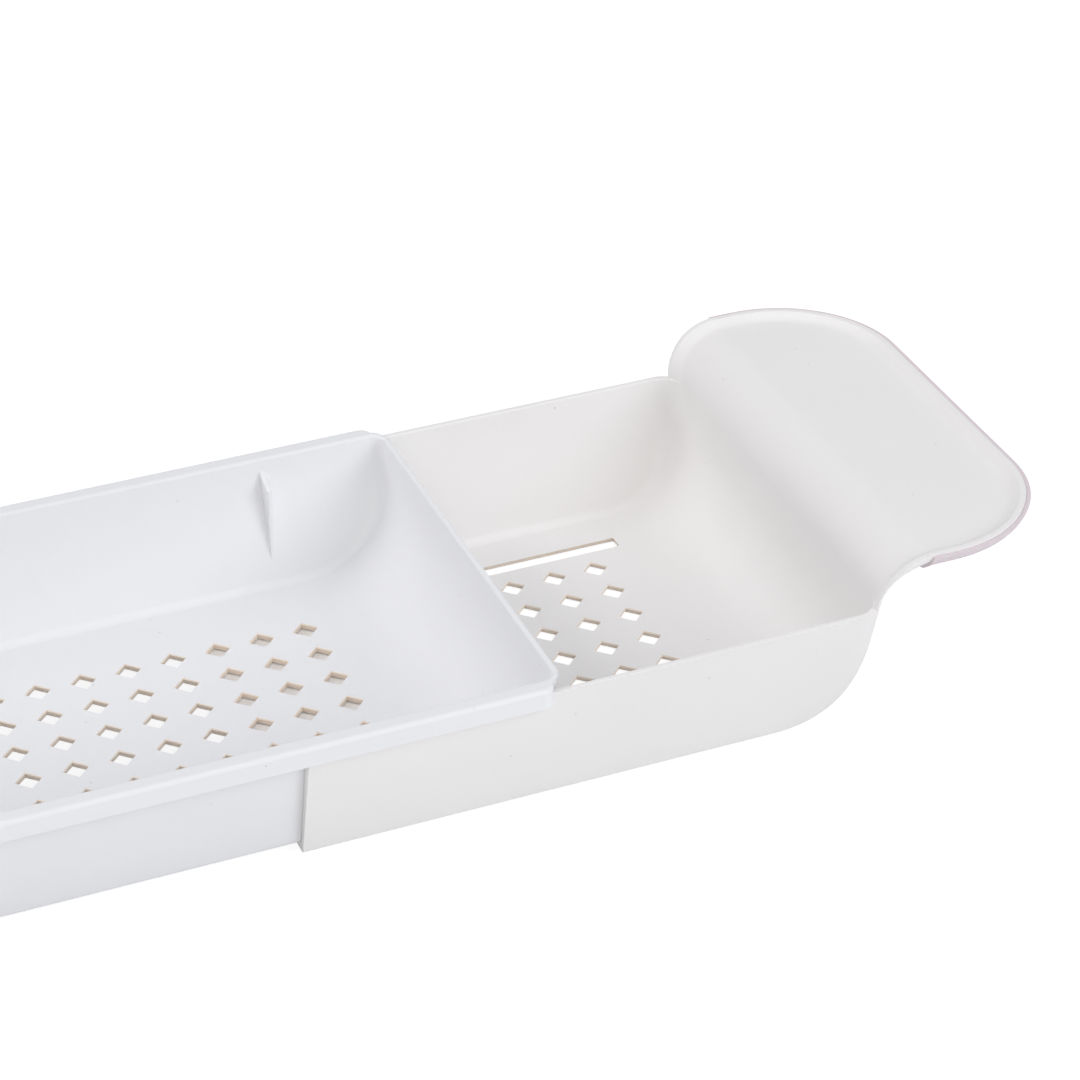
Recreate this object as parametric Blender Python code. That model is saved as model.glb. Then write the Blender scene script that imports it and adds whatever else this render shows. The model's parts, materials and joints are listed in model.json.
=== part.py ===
# Extending bath caddy: a centre tray nested in two extension trays that slide out along X,
# each ending in an S-shaped end wall, a flat handle with a raised lip, and a soft grip under it.
# Metres, +Z up. The origin is on the ground, midway between the two handles.
import math

import bmesh
import bpy
from mathutils import Vector

MM = 0.001
WELD = 0.001 * MM

# Shared sizes of the two mouldings
wall = 1.8 * MM
floor_thickness = 2.0 * MM
corner_radius = 3.0 * MM
centre_foot_radius = 2.2 * MM
extension_foot_radius = 1.0 * MM
side_draft_deg = 14.25
corner_growth_power = 4
side_gap = 0.35 * MM
touch_gap = 0.3 * MM

# Centre tray
centre_floor_half_width = 62.0 * MM
centre_depth = 40.2 * MM
centre_inside_half_length = 227.7 * MM
centre_end_radius = 30.0 * MM
centre_end_lean_deg = 1.5
centre_corner_radius = 4.0 * MM
rim_width = 5.5 * MM
rim_thickness = 1.6 * MM
skirt_drop = 6.0 * MM
skirt_thickness = 1.6 * MM
rim_edge_radius = 1.4 * MM
rim_end_setback = 1.3 * MM

# Wall ribs inside the centre tray
rib_thickness = 1.6 * MM
rib_setback = 38.7 * MM
rib_foot_height = 7.1 * MM
rib_crest_length = 26.1 * MM
rib_chamfer_height = 3.2 * MM

# Drain holes, squares turned to stand on a corner
hole_pitch = 14.0 * MM
hole_diagonal = 7.5 * MM
hole_rows = 6
centre_hole_margin = 8.0 * MM
extension_hole_columns = 5
extension_hole_margin = 15.3 * MM

# Extension trays
extension_inner_end = 154.0 * MM
extension_floor_end = 300.3 * MM
extension_end_radius = 28.0 * MM
extension_end_lean_deg = 3.5
extension_corner_radius = 9.0 * MM
rim_clearance = 1.2 * MM
handle_height = 56.2 * MM
handle_bend_radius = 16.0 * MM
handle_length = 41.1 * MM
handle_corner_radius = 35.5 * MM
handle_side_lean_deg = 3.7
lip_height = 2.0 * MM
lip_fillet_radius = 5.0 * MM
lip_under_radius = 3.2 * MM
lip_foot_height = 4.2 * MM
lip_foot_fillet_radius = 7.0 * MM
lip_foot_under_radius = 10.8 * MM
lip_taper_power = 3
ledge_height = 0.6 * MM

# Stop tabs under the centre tray and the slots they run in
slot_width = 5.0 * MM
slot_row_margin = 12.0 * MM
slot_end_margin = 3.3 * MM
tab_length = 6.0 * MM
tab_side_clearance = 0.5 * MM
stop_travel = 10.0 * MM

# Soft grips
grip_thickness = 1.3 * MM
grip_reach_under = 12.0 * MM
grip_top_setback = 0.3 * MM
grip_top_start_share = 0.84
grip_foot_start_share = 0.80
grip_end_steps = 3

# Steps of the curves
fillet_steps = 4
sweep_steps = 12
bend_steps = 12
handle_corner_steps = 14
edge_steps = 3
bisection_steps = 40
overrun = 5.0 * MM

# Heights and half-widths that follow
side_draft = math.tan(math.radians(side_draft_deg))
handle_side_lean = math.tan(math.radians(handle_side_lean_deg))
centre_floor_top = floor_thickness + touch_gap + floor_thickness
centre_rim_top = centre_floor_top + centre_depth
extension_rim_top = centre_rim_top - rim_thickness - rim_clearance
wall_across = wall / math.cos(math.radians(side_draft_deg))
nesting_drop = centre_floor_top - floor_thickness
extension_floor_half_width = centre_floor_half_width + wall_across + side_gap - side_draft * nesting_drop


def remove_all():
    for obj in list(bpy.data.objects):
        bpy.data.objects.remove(obj)


def plastic(name, colour, roughness, subsurface=0.0):
    material = bpy.data.materials.new(name)
    material.use_nodes = True
    shader = material.node_tree.nodes["Principled BSDF"]
    shader.inputs["Base Color"].default_value = (*colour, 1.0)
    shader.inputs["Roughness"].default_value = roughness
    shader.inputs["Metallic"].default_value = 0.0
    shader.inputs["Subsurface Weight"].default_value = subsurface
    return material


def centre_side(height):
    """Inner half-width of the centre tray at a height above the ground."""
    return centre_floor_half_width + side_draft * (height - centre_floor_top)


def extension_side(height):
    """Inner half-width of an extension tray: drafted up to the rim, then nearly upright along the lip."""
    below = min(height, extension_rim_top) - floor_thickness
    above = max(height - extension_rim_top, 0.0)
    return extension_floor_half_width + side_draft * below + handle_side_lean * above


class Station:
    """A ball that rests in the moulding's long corner, and the directions in which it touches it."""

    def __init__(self, ball, radius, to_side, to_floor):
        self.ball = ball
        self.radius = radius
        self.to_side = to_side
        self.to_floor = to_floor

    def arc(self, clearance=0.0):
        """Points from the side wall round to the floor, at a clearance outside the ball."""
        return [
            self.ball + (self.radius + clearance) * self.to_side.slerp(self.to_floor, step / fillet_steps)
            for step in range(fillet_steps + 1)
        ]


def wall_station(place, side, depth, thickness, radius):
    """A ball along the tray's side wall, touching a surface at a depth under the profile and the side."""
    x, z, normal_x, normal_z = place
    ball_x = x + (radius - depth) * normal_x
    ball_z = z + (radius - depth) * normal_z
    lean = math.radians(side_draft_deg)
    ball_y = side(ball_z) - (radius - thickness) / math.cos(lean)
    return Station(
        Vector((ball_x, ball_y, ball_z)),
        radius,
        Vector((0.0, math.cos(lean), -math.sin(lean))),
        Vector((-normal_x, 0.0, -normal_z)),
    )


def blended(start, end, share):
    return start + (end - start) * share


def corner_growth(place):
    """How far the corner has opened at a profile point, from 0 on the floor to 1 on an upright wall."""
    return (-place[2]) ** corner_growth_power


def inner_wall_stations(places, side, end_radius):
    """Inside, the corner opens from the floor's fillet to a rounder upright corner."""
    return [
        wall_station(place, side, 0.0, 0.0, blended(corner_radius, end_radius, corner_growth(place)))
        for place in places
    ]


def outer_wall_stations(places, side, foot_radius, end_radius):
    """Outside, the edge is tight under the floor and rounder up the end wall."""
    stations = []
    for place in places:
        radius = blended(foot_radius, end_radius + wall, corner_growth(place))
        depth = blended(floor_thickness, wall, -place[2])
        stations.append(wall_station(place, side, depth, wall, radius))
    return stations


def sweep_profile(start_x, floor_z, radius, lean_deg):
    """Points and normals of the sweep from the floor up to the end wall, starting at the floor's end."""
    turn = math.radians(90.0 - lean_deg)
    points = []
    for step in range(sweep_steps + 1):
        angle = turn * step / sweep_steps
        x = start_x + radius * math.sin(angle)
        z = floor_z + radius * (1.0 - math.cos(angle))
        points.append((x, z, -math.sin(angle), math.cos(angle)))
    return points


def mirrored_y(point):
    return Vector((point.x, -point.y, point.z))


def mirrored_x(point):
    return Vector((-point.x, point.y, point.z))


def add_face(mesh, points):
    mesh.faces.new([mesh.verts.new(point) for point in points])


def add_both_sides(mesh, points):
    add_face(mesh, points)
    add_face(mesh, [mirrored_y(point) for point in points])


def add_across(mesh, here, there):
    """A face over the whole width, between a pair of points and their mirror images."""
    add_face(mesh, [here, there, mirrored_y(there), mirrored_y(here)])


def add_skin(mesh, rows):
    """The rounded corner strips and the floor between them, for one surface of a moulding."""
    for here, there in zip(rows, rows[1:]):
        for step in range(fillet_steps):
            add_both_sides(mesh, [here[step], there[step], there[step + 1], here[step + 1]])
        add_across(mesh, here[-1], there[-1])


def add_edge(mesh, inner, outer):
    """The thin edge between the inner and the outer surface where the strips end."""
    for step in range(fillet_steps):
        add_both_sides(mesh, [inner[step], inner[step + 1], outer[step + 1], outer[step]])
    add_across(mesh, inner[-1], outer[-1])


def object_from(mesh, name, material=None):
    """Welds the faces into one closed body and makes it an object."""
    bmesh.ops.remove_doubles(mesh, verts=mesh.verts, dist=WELD)
    bmesh.ops.recalc_face_normals(mesh, faces=mesh.faces)
    if mesh.calc_volume(signed=True) < 0:
        bmesh.ops.reverse_faces(mesh, faces=mesh.faces)
    data = bpy.data.meshes.new(name)
    mesh.to_mesh(data)
    mesh.free()
    obj = bpy.data.objects.new(name, data)
    bpy.context.scene.collection.objects.link(obj)
    if material:
        data.materials.append(material)
        data.shade_smooth()
        data.set_sharp_from_angle(angle=math.radians(35.0))
    return obj


def add_prism(mesh, outline, direction):
    """A closed prism from an outline of points and the vector it is pulled along."""
    moved = [point + direction for point in outline]
    add_face(mesh, outline)
    add_face(mesh, moved)
    for index in range(len(outline)):
        following = (index + 1) % len(outline)
        add_face(mesh, [outline[index], outline[following], moved[following], moved[index]])


def combine(obj, tool, operation, label):
    """A live Boolean whose tool stays in the file as a wire guide."""
    tool.hide_render = True
    tool.display_type = "WIRE"
    modifier = obj.modifiers.new(label, "BOOLEAN")
    modifier.operation = operation
    modifier.solver = "EXACT"
    modifier.object = tool


def raised_to(point, height, lean_x, lean_y):
    """The point carried up or down its leaning wall to a height."""
    rise = height - point.z
    return Vector((point.x + lean_x * rise, point.y + lean_y * rise, height))


def centre_places():
    """Profile points of the centre tray's right sweep, from the floor up to the end wall."""
    start_x = centre_inside_half_length - centre_end_radius * math.cos(math.radians(centre_end_lean_deg))
    return sweep_profile(start_x, centre_floor_top, centre_end_radius, centre_end_lean_deg)


def centre_rows(stations):
    """Corner strips of the centre tray's right half, the last one at the rim of the end wall."""
    rows = [station.arc() for station in stations]
    lean_x = math.tan(math.radians(centre_end_lean_deg))
    rows.append([raised_to(point, centre_rim_top, lean_x, side_draft) for point in rows[-1]])
    return rows


def centre_shell():
    mesh = bmesh.new()
    places = centre_places()
    inner_stations = inner_wall_stations(places, centre_side, centre_corner_radius)
    outer_stations = outer_wall_stations(places, centre_side, centre_foot_radius, centre_corner_radius)
    surfaces = []
    for stations in (inner_stations, outer_stations):
        right = centre_rows(stations)
        left = [[mirrored_x(point) for point in row] for row in reversed(right)]
        rows = left + right
        add_skin(mesh, rows)
        add_both_sides(mesh, [row[0] for row in rows])
        surfaces.append(rows)
    inner, outer = surfaces
    for end in (0, -1):
        add_edge(mesh, inner[end], outer[end])
    add_both_sides(mesh, [inner[0][0], inner[-1][0], outer[-1][0], outer[0][0]])
    return mesh


def rounded_corner(corner, before, after, radius, steps):
    """Points of an arc that rounds a square corner, given unit directions back and onward from it."""
    middle = corner + radius * before + radius * after
    return [middle - radius * after.slerp(before, step / steps) for step in range(steps + 1)]


def rim_rails():
    """Both long rims: a flat top outside the wall, turned down into a skirt."""
    mesh = bmesh.new()
    inner_y = centre_side(centre_rim_top) + wall_across / 2
    outer_y = centre_side(centre_rim_top) + rim_width
    skirt_y = outer_y - skirt_thickness
    top = centre_rim_top
    end_x = centre_inside_half_length - rim_end_setback
    up, inward = Vector((0.0, 0.0, 1.0)), Vector((0.0, -1.0, 0.0))
    corner = Vector((-end_x, outer_y, top))
    outline = [Vector((-end_x, inner_y, top))]
    outline += rounded_corner(corner, inward, -up, rim_edge_radius, edge_steps)
    outline += [
        Vector((-end_x, outer_y, top - skirt_drop)),
        Vector((-end_x, skirt_y, top - skirt_drop)),
        Vector((-end_x, skirt_y, top - rim_thickness)),
        Vector((-end_x, inner_y, top - rim_thickness)),
    ]
    along = Vector((2 * end_x, 0.0, 0.0))
    add_prism(mesh, outline, along)
    add_prism(mesh, [mirrored_y(point) for point in outline], along)
    return object_from(mesh, "rim_rail_tool")


def wall_ribs():
    """Four upright blades on the long walls, one near each corner."""
    mesh = bmesh.new()
    foot = centre_floor_top + rib_foot_height
    crest_top = foot + rib_crest_length
    tip = crest_top + rib_chamfer_height
    crest_y = centre_side(foot)
    buried = wall_across / 2
    side = [(crest_y, foot), (crest_y, crest_top), (centre_side(tip), tip)]
    side += [(centre_side(tip) + buried, tip), (crest_y + buried, foot)]
    for sign in (1.0, -1.0):
        x = sign * (centre_inside_half_length - rib_setback) - rib_thickness / 2
        outline = [Vector((x, y, z)) for y, z in side]
        thickness = Vector((rib_thickness, 0.0, 0.0))
        add_prism(mesh, outline, thickness)
        add_prism(mesh, [mirrored_y(point) for point in outline], thickness)
    return object_from(mesh, "wall_rib_tool")


def slot_line():
    """Distance of each slot's middle line from the tray's middle."""
    return (hole_rows - 1) / 2 * hole_pitch + slot_row_margin


def tab_middle():
    flat_end = centre_inside_half_length - centre_end_radius
    return flat_end - tab_length / 2


def stop_tabs():
    """Four blocks under the centre tray that run in the slots and stop the pull."""
    mesh = bmesh.new()
    half_length = tab_length / 2
    half_width = slot_width / 2 - tab_side_clearance
    top = centre_floor_top - floor_thickness / 2
    for sign_x in (1.0, -1.0):
        for sign_y in (1.0, -1.0):
            x, y = sign_x * tab_middle(), sign_y * slot_line()
            outline = [
                Vector((x - half_length, y - half_width, touch_gap)),
                Vector((x + half_length, y - half_width, touch_gap)),
                Vector((x + half_length, y + half_width, touch_gap)),
                Vector((x - half_length, y + half_width, touch_gap)),
            ]
            add_prism(mesh, outline, Vector((0.0, 0.0, top - touch_gap)))
    return object_from(mesh, "stop_tab_tool")


def diamond_holes(name, columns, floor_z):
    """Cutters for a field of drain holes, given the x of each column."""
    mesh = bmesh.new()
    half = hole_diagonal / 2
    bottom = floor_z - overrun
    for x in columns:
        for row in range(hole_rows):
            y = (row - (hole_rows - 1) / 2) * hole_pitch
            outline = [
                Vector((x - half, y, bottom)),
                Vector((x, y - half, bottom)),
                Vector((x + half, y, bottom)),
                Vector((x, y + half, bottom)),
            ]
            add_prism(mesh, outline, Vector((0.0, 0.0, 2 * overrun)))
    return object_from(mesh, name)


def centre_hole_columns():
    flat_half = centre_inside_half_length - centre_end_radius
    count = int(2 * (flat_half - centre_hole_margin) / hole_pitch) + 1
    return [(index - (count - 1) / 2) * hole_pitch for index in range(count)]


def build_centre_tray(material):
    tray = object_from(centre_shell(), "centre_tray", material)
    combine(tray, rim_rails(), "UNION", "Rim rails")
    combine(tray, wall_ribs(), "UNION", "Wall ribs")
    combine(tray, stop_tabs(), "UNION", "Stop tabs")
    holes = diamond_holes("centre_hole_tool", centre_hole_columns(), centre_floor_top)
    combine(tray, holes, "DIFFERENCE", "Drain holes")
    return tray


def end_wall_lean():
    return math.radians(extension_end_lean_deg)


def end_wall_lengths():
    """Lengths along the end wall's profile: the sweep, the straight above it and the handle bend."""
    turn = math.pi / 2 - end_wall_lean()
    turned = (extension_end_radius + handle_bend_radius) * (1.0 - math.cos(turn))
    straight = (handle_height - floor_thickness - turned) / math.sin(turn)
    return extension_end_radius * turn, straight, handle_bend_radius * turn


def bend_middle():
    """Where the middle of the handle bend lies, seen from the side."""
    reach = (extension_end_radius + handle_bend_radius) * math.cos(end_wall_lean())
    straight = end_wall_lengths()[1]
    x = extension_floor_end + reach + straight * math.sin(end_wall_lean())
    return x, handle_height - handle_bend_radius


def bend_place(angle):
    """Point and normal of the handle bend where its surface is tilted by an angle."""
    bend_x, bend_z = bend_middle()
    x = bend_x - handle_bend_radius * math.sin(angle)
    z = bend_z + handle_bend_radius * math.cos(angle)
    return x, z, -math.sin(angle), math.cos(angle)


def climb(distance):
    """Point and normal of the profile at a distance above the sweep, up to the level handle."""
    _, straight, bend = end_wall_lengths()
    if distance >= straight:
        return bend_place((straight + bend - distance) / handle_bend_radius)
    x, z, normal_x, normal_z = bend_place(math.pi / 2 - end_wall_lean())
    below = straight - distance
    return x - below * math.sin(end_wall_lean()), z - below * math.cos(end_wall_lean()), normal_x, normal_z


def lip_foot():
    """Distance above the sweep where the lip's top is level with the tray's rim."""
    _, straight, bend = end_wall_lengths()
    low, high = 0.0, straight + bend
    for _ in range(bisection_steps):
        middle = (low + high) / 2
        _, z, _, normal_z = climb(middle)
        if z + lip_foot_height * normal_z < extension_rim_top:
            low = middle
        else:
            high = middle
    return high


class LipSection:
    """The lip's cross-section: a filleted inner face, a narrow top and a rounded outer face."""

    def __init__(self, base, out, up, inner_top_reach, foot_share=0.0):
        height = blended(lip_height, lip_foot_height, foot_share)
        fillet_radius = blended(lip_fillet_radius, lip_foot_fillet_radius, foot_share)
        under_radius = blended(lip_under_radius, lip_foot_under_radius, foot_share)
        lean = math.asin(1.0 - height / fillet_radius)
        under_lean = math.asin(max(under_radius - wall - height, 0.0) / under_radius)
        reach = inner_top_reach - fillet_radius * math.cos(lean)
        under_reach = inner_top_reach + wall_across - under_radius * math.cos(under_lean)
        ball = base + reach * out + fillet_radius * up
        under_ball = base + under_reach * out + (under_radius - wall) * up
        to_side = math.cos(lean) * out - math.sin(lean) * up
        under_to_side = math.cos(under_lean) * out - math.sin(under_lean) * up
        self.out = out
        self.inner = Station(ball, fillet_radius, to_side, -up)
        self.outer = Station(under_ball, under_radius, under_to_side, -up)
        self.inner_top = base + inner_top_reach * out + height * up
        self.outer_top = self.inner_top + wall_across * out


def side_lip_section(place, foot_share=0.0):
    """Section of the lip on the +Y side, above a point of the end wall or the handle."""
    x, z, normal_x, normal_z = place
    up = Vector((normal_x, 0.0, normal_z))
    height = blended(lip_height, lip_foot_height, foot_share)
    reach = extension_side(z + height * normal_z)
    return LipSection(Vector((x, 0.0, z)), Vector((0.0, 1.0, 0.0)), up, reach, foot_share)


def risen_lip_section(share):
    """Section at a share of the way from the lip's foot to the level handle, where the lip has thinned."""
    _, straight, bend = end_wall_lengths()
    foot = lip_foot()
    place = climb(blended(foot, straight + bend, share))
    return side_lip_section(place, 1.0 - share**lip_taper_power)


def side_lip_sections():
    """The lip up the end wall and round the bend."""
    return [risen_lip_section(step / bend_steps) for step in range(bend_steps + 1)]


def corner_lip_sections():
    """The lip round the handle's rounded corner, up to its straight end edge."""
    radius = min(handle_corner_radius, handle_length)
    bend_x, _ = bend_middle()
    middle_y = extension_side(handle_height + lip_height) - radius
    base = Vector((bend_x + handle_length - radius, middle_y, handle_height))
    sections = []
    for step in range(handle_corner_steps + 1):
        angle = math.pi / 2 * step / handle_corner_steps
        out = Vector((math.sin(angle), math.cos(angle), 0.0))
        sections.append(LipSection(base, out, Vector((0.0, 0.0, 1.0)), radius))
    return sections


def tray_places():
    """Profile points of the tray's floor and end wall, up to the ledge just below the lip."""
    floor_start = (extension_inner_end, floor_thickness, 0.0, 1.0)
    sweep = sweep_profile(
        extension_floor_end, floor_thickness, extension_end_radius, extension_end_lean_deg
    )
    return [floor_start] + sweep + [climb(lip_foot() - ledge_height)]


def add_handle_face(mesh, rows):
    """The level face of the handle, one outline over its whole width."""
    edge = [row[-1] for row in rows]
    add_face(mesh, edge + [mirrored_y(point) for point in reversed(edge)])


def add_extension_surface(mesh, tray_rows, lip_rows):
    """Floor, end wall, bend and handle of one surface of the moulding, with their corner strips."""
    add_skin(mesh, tray_rows + lip_rows[: bend_steps + 1])
    level_rows = lip_rows[bend_steps:]
    for here, there in zip(level_rows, level_rows[1:]):
        for step in range(fillet_steps):
            add_both_sides(mesh, [here[step], there[step], there[step + 1], here[step + 1]])
    end = level_rows[-1]
    for step in range(fillet_steps):
        add_across(mesh, end[step], end[step + 1])
    add_handle_face(mesh, level_rows)


def add_lip_top(mesh, sections):
    """The lip's narrow top and its upright outer face, and the same across the end edge."""
    for here, there in zip(sections, sections[1:]):
        outer_here, outer_there = here.outer.arc()[0], there.outer.arc()[0]
        add_both_sides(mesh, [here.inner_top, there.inner_top, there.outer_top, here.outer_top])
        add_both_sides(mesh, [outer_here, outer_there, there.outer_top, here.outer_top])
    end = sections[-1]
    add_across(mesh, end.inner_top, end.outer_top)
    add_across(mesh, end.outer_top, end.outer.arc()[0])


def extension_shell():
    sections = side_lip_sections() + corner_lip_sections()
    places = tray_places()
    end_radius = extension_corner_radius
    inner_stations = inner_wall_stations(places, extension_side, end_radius)
    outer_stations = outer_wall_stations(places, extension_side, extension_foot_radius, end_radius)
    inner_tray = [station.arc() for station in inner_stations]
    outer_tray = [station.arc() for station in outer_stations]
    mesh = bmesh.new()
    add_extension_surface(mesh, inner_tray, [section.inner.arc() for section in sections])
    add_extension_surface(mesh, outer_tray, [section.outer.arc() for section in sections])
    add_lip_top(mesh, sections)

    # Side walls, from the open end to the foot of the lip
    foot = sections[0]
    start_inner = Vector((extension_inner_end, extension_side(extension_rim_top), extension_rim_top))
    start_outer = start_inner + Vector((0.0, wall_across, 0.0))
    inner_rise = [row[0] for row in inner_tray]
    outer_rise = [row[0] for row in outer_tray]
    add_both_sides(mesh, inner_rise + [foot.inner_top, start_inner])
    add_both_sides(mesh, outer_rise + [foot.outer.arc()[0], foot.outer_top, start_outer])
    add_both_sides(mesh, [start_inner, foot.inner_top, foot.outer_top, start_outer])

    # Open end of the tray
    add_edge(mesh, inner_tray[0], outer_tray[0])
    add_both_sides(mesh, [start_inner, inner_tray[0][0], outer_tray[0][0], start_outer])
    return mesh


def slots():
    """Cutters for the two long slots that the stop tabs run in."""
    mesh = bmesh.new()
    outer_x = extension_floor_end - slot_end_margin
    inner_x = tab_middle() - tab_length / 2 - touch_gap - stop_travel
    for sign in (1.0, -1.0):
        near_y = sign * slot_line() - slot_width / 2
        far_y = sign * slot_line() + slot_width / 2
        outline = [
            Vector((inner_x, near_y, -overrun)),
            Vector((outer_x, near_y, -overrun)),
            Vector((outer_x, far_y, -overrun)),
            Vector((inner_x, far_y, -overrun)),
        ]
        add_prism(mesh, outline, Vector((0.0, 0.0, 2 * overrun)))
    return object_from(mesh, "slot_tool")


def extension_hole_x():
    outermost = extension_floor_end - extension_hole_margin
    return [outermost - index * hole_pitch for index in range(extension_hole_columns)]


def grip_ring(section):
    """Section of the grip: down outside the lip, round its lower corner and in under the handle."""
    inner = section.outer.arc(touch_gap)
    outer = section.outer.arc(touch_gap + grip_thickness)
    inner_top = section.outer_top + touch_gap * section.out
    inner_top.z -= grip_top_setback
    under = -grip_reach_under * section.out
    ring = [inner_top] + inner + [inner[-1] + under, outer[-1] + under]
    return ring + list(reversed(outer)) + [inner_top + grip_thickness * section.out]


def slanted(upper, lower):
    """A ring that follows one ring at its top and another at its foot."""
    lowest, highest = upper[-2 - fillet_steps].z, upper[0].z
    ring = []
    for top, foot in zip(upper, lower):
        share = min(max((top.z - lowest) / (highest - lowest), 0.0), 1.0)
        ring.append(foot.lerp(top, share))
    return ring


def grip_side_rings():
    """The grip on the last of the bend, from its slanted end to the level handle."""
    rings = []
    for step in range(grip_end_steps + 1):
        share = step / grip_end_steps
        upper = grip_ring(risen_lip_section(blended(grip_top_start_share, 1.0, share)))
        lower = grip_ring(risen_lip_section(blended(grip_foot_start_share, 1.0, share)))
        rings.append(slanted(upper, lower))
    return rings


def grip_mesh():
    """The grip's section carried round the handle, from one side to the other."""
    right = grip_side_rings() + [grip_ring(section) for section in corner_lip_sections()]
    left = [[mirrored_y(point) for point in ring] for ring in reversed(right)]
    rings = right + left
    mesh = bmesh.new()
    for here, there in zip(rings, rings[1:]):
        for index in range(len(here)):
            following = (index + 1) % len(here)
            add_face(mesh, [here[index], there[index], there[following], here[following]])
    for ring in (rings[0], rings[-1]):
        half = len(ring) // 2
        for index in range(half - 1):
            add_face(mesh, [ring[index], ring[index + 1], ring[-2 - index], ring[-1 - index]])
    return mesh


def build_extension(side, turn, tray_mesh, grip_data, tools):
    """One extension tray and its grip, on a slide empty that is turned to face its own end."""
    slide = bpy.data.objects.new(side + "_slide", None)
    slide.rotation_euler = (0.0, 0.0, turn)
    tray = bpy.data.objects.new(side + "_extension_tray", tray_mesh)
    grip = bpy.data.objects.new(side + "_grip", grip_data)
    for obj in (slide, tray, grip):
        bpy.context.scene.collection.objects.link(obj)
    tray.parent = slide
    grip.parent = tray
    for label, tool in tools.items():
        own = bpy.data.objects.new(side + "_" + tool.name, tool.data)
        bpy.context.scene.collection.objects.link(own)
        own.parent = slide
        combine(tray, own, "DIFFERENCE", label)


def main():
    remove_all()
    cool_white = plastic("centre_tray_plastic", (0.80, 0.81, 0.83), 0.42)
    warm_white = plastic("extension_plastic", (0.83, 0.82, 0.80), 0.42)
    soft_pink = plastic("grip_rubber", (0.78, 0.70, 0.73), 0.55, 0.1)
    build_centre_tray(cool_white)

    pattern = object_from(extension_shell(), "extension_pattern", warm_white)
    grip_pattern = object_from(grip_mesh(), "grip_pattern", soft_pink)
    tray_mesh, grip_data = pattern.data, grip_pattern.data
    bpy.data.objects.remove(pattern)
    bpy.data.objects.remove(grip_pattern)
    tools = {
        "Slots": slots(),
        "Drain holes": diamond_holes("hole_tool", extension_hole_x(), floor_thickness / 2),
    }
    build_extension("right", 0.0, tray_mesh, grip_data, tools)
    build_extension("left", math.pi, tray_mesh, grip_data, tools)
    for tool in tools.values():
        bpy.data.objects.remove(tool)


main()
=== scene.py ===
import json
import math

import bmesh
import bpy
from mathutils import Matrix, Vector

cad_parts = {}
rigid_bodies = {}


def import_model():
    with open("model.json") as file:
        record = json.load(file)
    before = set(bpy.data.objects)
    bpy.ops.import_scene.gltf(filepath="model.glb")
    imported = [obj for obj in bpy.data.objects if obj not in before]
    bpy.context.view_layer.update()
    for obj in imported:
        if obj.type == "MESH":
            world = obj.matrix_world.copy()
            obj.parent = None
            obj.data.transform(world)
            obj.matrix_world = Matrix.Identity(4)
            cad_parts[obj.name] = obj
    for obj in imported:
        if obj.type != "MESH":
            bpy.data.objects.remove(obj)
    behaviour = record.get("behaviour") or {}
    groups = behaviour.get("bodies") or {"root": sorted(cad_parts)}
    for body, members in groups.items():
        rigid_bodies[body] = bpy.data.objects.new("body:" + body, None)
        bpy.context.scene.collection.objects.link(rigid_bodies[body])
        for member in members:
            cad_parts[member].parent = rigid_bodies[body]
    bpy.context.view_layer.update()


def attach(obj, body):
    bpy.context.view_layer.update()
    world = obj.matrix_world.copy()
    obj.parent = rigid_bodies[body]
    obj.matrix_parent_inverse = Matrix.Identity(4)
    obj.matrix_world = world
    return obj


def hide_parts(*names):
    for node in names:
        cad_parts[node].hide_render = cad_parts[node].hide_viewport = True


for leftover in list(bpy.data.objects):
    bpy.data.objects.remove(leftover)
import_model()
mm = 0.001
print("solids loaded")

# Working values in mm: how near counts as touching, the distance under which points are merged,
# and the half-width of blocks that reach past both side walls. Square faces turn by 90 degrees.
near = 0.1
mergeBelow = 0.002
blockHalf = 95.0
square = 90.0


# Small helpers for working in edit mode

def clearSelection():
    if bpy.context.object and bpy.context.object.mode != "OBJECT":
        bpy.ops.object.mode_set(mode="OBJECT")
    bpy.ops.object.select_all(action="DESELECT")


def choose(piece):
    clearSelection()
    piece.select_set(True)
    bpy.context.view_layer.objects.active = piece


def done():
    bpy.ops.object.mode_set(mode="OBJECT")


def editAll(piece):
    choose(piece)
    bpy.ops.object.mode_set(mode="EDIT")
    bpy.ops.mesh.select_all(action="SELECT")


def blockBetween(name, low, high):
    # a cube between two corners in mm
    clearSelection()
    middle = [(a + b) / 2 * mm for a, b in zip(low, high)]
    bpy.ops.mesh.primitive_cube_add(size=1.0, location=middle)
    piece = bpy.context.object
    piece.name = piece.data.name = name
    piece.scale = [(b - a) * mm for a, b in zip(low, high)]
    bpy.ops.object.transform_apply(location=True, rotation=True, scale=True)
    return piece


def placedCopy(piece, x, y, turned):
    # a copy with its own mesh, turned half round if wanted, with its place in the mesh
    choose(piece)
    bpy.ops.object.duplicate()
    other = bpy.context.object
    other.rotation_euler = (0.0, 0.0, math.pi if turned else 0.0)
    other.location = (x * mm, y * mm, 0.0)
    bpy.ops.object.transform_apply(location=True, rotation=True, scale=True)
    return other


def turnedCopy(piece, name):
    # the same piece turned half round, for the other end
    other = placedCopy(piece, 0.0, 0.0, True)
    other.name = other.data.name = name
    return other


def spanOf(part):
    # lowest and highest corner of an edge or face, in mm
    corners = [v.co / mm for v in part.verts]
    low = Vector([min(c[i] for c in corners) for i in range(3)])
    high = Vector([max(c[i] for c in corners) for i in range(3)])
    return low, high


def facing(part, x, y, z):
    # a face that looks along a direction, within about 8 degrees
    return part.normal.dot(Vector((x, y, z)).normalized()) > 0.99


def upright(edge):
    # an edge that rises by more than 2 mm
    low, high = spanOf(edge)
    return high.z - low.z > 2.0


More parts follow.
